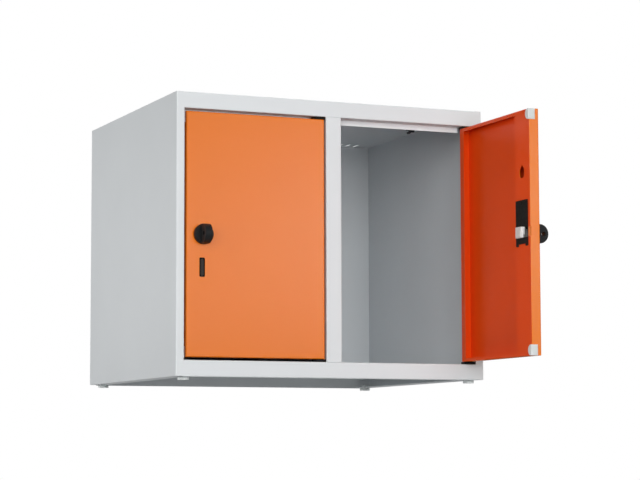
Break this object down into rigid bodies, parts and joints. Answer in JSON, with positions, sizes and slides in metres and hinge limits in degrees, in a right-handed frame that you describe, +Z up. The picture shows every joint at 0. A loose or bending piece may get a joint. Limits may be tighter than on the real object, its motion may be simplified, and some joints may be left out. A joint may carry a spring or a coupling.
{
  "type": "locker",
  "caption": "Sheet-steel add-on locker with side-by-side compartments, each behind a right-hung door whose turn knob slides a bolt behind the frame's stop lip.",
  "frame": {"origin": "on the ground, in the middle of the four feet", "axes": "+Z up, +X to the viewer's right when facing the doors, +Y from the doors to the back"},
  "size_m": [0.611, 0.7532, 0.505],
  "materials": {
    "grey_paint": "light grey powder coat, satin",
    "orange_paint": "orange powder coat, satin",
    "black_plastic": "moulded black plastic",
    "dark_plastic": "moulded dark grey plastic",
    "light_plastic": "moulded light grey plastic",
    "zinc": "zinc-plated steel"
  },
  "bodies": {
    "carcass": {"left_side_panel": "grey_paint", "right_side_panel": "grey_paint", "roof_panel": "grey_paint", "floor_panel": "grey_paint", "back_panel": "grey_paint", "partition": "grey_paint", "centre_post": "grey_paint", "foot_front_left": "light_plastic", "foot_front_right": "light_plastic", "foot_rear_left": "light_plastic", "foot_rear_right": "light_plastic", "left_lower_bearing": "black_plastic", "left_upper_bearing": "black_plastic", "right_lower_bearing": "black_plastic", "right_upper_bearing": "black_plastic", "left_coat_hook": "dark_plastic", "right_coat_hook": "dark_plastic"},
    "left_door": {"left_door_panel": "orange_paint", "left_lock_stiffener": "orange_paint", "left_lock_housing": "black_plastic", "left_lock_cover": "black_plastic", "left_slot_plug": "dark_plastic", "left_lower_buffer": "light_plastic", "left_upper_buffer": "light_plastic", "left_lower_hinge_pin": "orange_paint", "left_upper_hinge_pin": "orange_paint", "left_lower_pin_bracket": "orange_paint", "left_upper_pin_bracket": "orange_paint"},
    "left_knob": {"left_knob": "black_plastic", "left_knob_spindle": "zinc", "left_lock_driver": "zinc"},
    "left_bolt": {"left_bolt": "zinc"},
    "right_door": {"right_door_panel": "orange_paint", "right_lock_stiffener": "orange_paint", "right_lock_housing": "black_plastic", "right_lock_cover": "black_plastic", "right_slot_plug": "dark_plastic", "right_lower_buffer": "light_plastic", "right_upper_buffer": "light_plastic", "right_lower_hinge_pin": "orange_paint", "right_upper_hinge_pin": "orange_paint", "right_lower_pin_bracket": "orange_paint", "right_upper_pin_bracket": "orange_paint"},
    "right_knob": {"right_knob": "black_plastic", "right_knob_spindle": "zinc", "right_lock_driver": "zinc"},
    "right_bolt": {"right_bolt": "zinc"}
  },
  "joints": [
    {"name": "left_door_hinge", "type": "hinge", "parent": "carcass", "child": "left_door", "pos_m": [-0.0245, -0.245, 0.255], "axis": [0, 0, 1], "range_deg": [0, 110]},
    {"name": "right_door_hinge", "type": "hinge", "parent": "carcass", "child": "right_door", "pos_m": [0.2755, -0.245, 0.255], "axis": [0, 0, 1], "range_deg": [-90, 20]},
    {"name": "left_knob_turn", "type": "hinge", "parent": "left_door", "child": "left_knob", "pos_m": [-0.2505, -0.25, 0.254], "axis": [0, -1, 0], "range_deg": [0, 90]},
    {"name": "right_knob_turn", "type": "hinge", "parent": "right_door", "child": "right_knob", "pos_m": [0.2805, -0.471, 0.254], "axis": [1, 0, 0], "range_deg": [0, 90]},
    {"name": "left_bolt_slide", "type": "slide", "parent": "left_door", "child": "left_bolt", "axis": [-1, 0, 0], "range_m": [0, 0.0224]},
    {"name": "right_bolt_slide", "type": "slide", "parent": "right_door", "child": "right_bolt", "axis": [0, -1, 0], "range_m": [0, 0.0224]}
  ],
  "couplings": [
    {"joint": "left_bolt_slide", "follows": "left_knob_turn", "m_per_rad": 0.014197},
    {"joint": "right_bolt_slide", "follows": "right_knob_turn", "m_per_rad": 0.014197}
  ]
}
